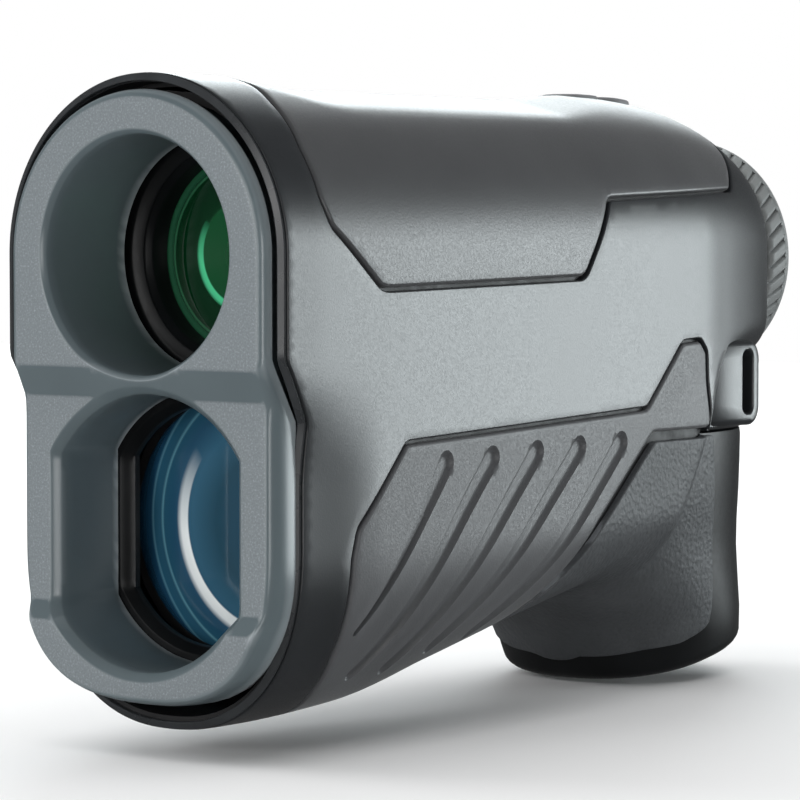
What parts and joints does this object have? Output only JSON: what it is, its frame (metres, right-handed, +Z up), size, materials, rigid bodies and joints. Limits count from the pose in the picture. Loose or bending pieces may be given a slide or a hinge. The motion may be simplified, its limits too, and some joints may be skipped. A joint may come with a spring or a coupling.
{
  "type": "laser rangefinder",
  "caption": "Handheld laser rangefinder: pill-shaped two-window front, rubber armour panels, fluted side grips, ribbed eyepiece ring and battery pod below the rear.",
  "frame": {"origin": "middle of the overall footprint, level with the lowest edge of the battery pod", "axes": "+X to the user's left, -Y the way the instrument looks, +Z up"},
  "size_m": [0.041, 0.1186, 0.0762],
  "materials": {
    "housing": "satin, fine grained metallic graphite",
    "bezel": "satin blue-grey with fine speckle",
    "rim": "smooth black",
    "cover": "matte soft-touch warm grey",
    "grip": "matte warm grey, moulded",
    "pod_pad": "leather-textured dark grey",
    "pod": "glossy black",
    "ring": "ribbed matte grey",
    "eyecup": "soft black",
    "seal": "black",
    "button": "matte dark grey",
    "black_part": "matte black",
    "screw": "bright",
    "sight_glass": "green anti-reflection coating",
    "receiver_glass": "blue anti-reflection coating",
    "clear_glass": "polished",
    "display": "liquid-crystal cell",
    "board": "green circuit board",
    "chip": "moulded package",
    "laser_can": "gold-plated can",
    "detector_can": "bright can",
    "capacitor": "sleeved can",
    "switch": "pressed cover",
    "battery": "printed wrap",
    "contact": "plated",
    "cap": "satin black"
  },
  "bodies": {
    "housing": {"left_shell": "housing", "right_shell": "housing", "lanyard_lug": "housing", "front_bezel": "bezel", "front_rim": "rim", "top_cover": "cover", "left_grip": "grip", "right_grip": "grip", "left_pod_pad": "pod_pad", "right_pod_pad": "pod_pad", "pod_core": "pod", "bezel_gasket": "seal", "sight_lens_ring": "black_part", "sight_barrel": "black_part", "prism_cage": "black_part", "receiver_frame": "black_part", "receiver_cone": "black_part", "eyepiece_sleeve": "black_part", "battery_liner": "black_part", "shell_screw_1": "screw", "shell_screw_2": "screw", "shell_screw_3": "screw", "sight_objective": "sight_glass", "receiver_lens": "receiver_glass", "focus_lens": "clear_glass", "erecting_prism": "clear_glass", "roof_prism": "clear_glass", "display_cell": "display", "main_board": "board", "detector_board": "board", "button_board": "board", "processor": "chip", "laser_driver": "chip", "laser_diode": "laser_can", "detector_can": "detector_can", "supply_capacitor": "capacitor", "fire_switch": "switch", "mode_switch": "switch", "positive_contact": "contact"},
    "fire_button": {"fire_button": "button"},
    "mode_button": {"mode_button": "button"},
    "dioptre_ring": {"dioptre_ring": "ring", "eyecup": "eyecup"},
    "ocular": {"ocular_cell": "black_part", "field_lens": "clear_glass", "eye_lens": "clear_glass"},
    "battery": {"battery_cell": "battery"},
    "cap_core": {"cap_plug": "cap", "cap_seal": "seal", "contact_spring": "contact"},
    "cap_knob": {"cap_knob": "cap"}
  },
  "joints": [
    {"name": "fire_press", "type": "slide", "parent": "housing", "child": "fire_button", "axis": [0, 0, -1], "range_m": [0, 0.0005], "stiffness_N_per_m": 1200, "springref_m": -0.0003},
    {"name": "mode_press", "type": "slide", "parent": "housing", "child": "mode_button", "axis": [0, 0, -1], "range_m": [0, 0.0005], "stiffness_N_per_m": 1200, "springref_m": -0.0003},
    {"name": "dioptre_turn", "type": "hinge", "parent": "housing", "child": "dioptre_ring", "pos_m": [0, 0.054, 0.055], "axis": [0, 1, 0], "range_deg": [-60, 60]},
    {"name": "dioptre_travel", "type": "slide", "parent": "housing", "child": "ocular", "axis": [0, 1, 0], "range_m": [-0.00075, 0.00075]},
    {"name": "battery_slide", "type": "slide", "parent": "housing", "child": "battery", "axis": [0, 0.1772, -0.9842], "range_m": [0, 0.034]},
    {"name": "cap_slide", "type": "slide", "parent": "battery", "child": "cap_core", "axis": [0, 0.1772, -0.9842], "range_m": [0, 0.012]},
    {"name": "cap_turn", "type": "hinge", "parent": "cap_core", "child": "cap_knob", "pos_m": [0, 0.039, 0.00265], "axis": [0, 0.1772, -0.9842], "range_deg": [0, 90]}
  ],
  "couplings": [
    {"joint": "dioptre_travel", "follows": "dioptre_turn", "m_per_rad": 0.0007}
  ]
}
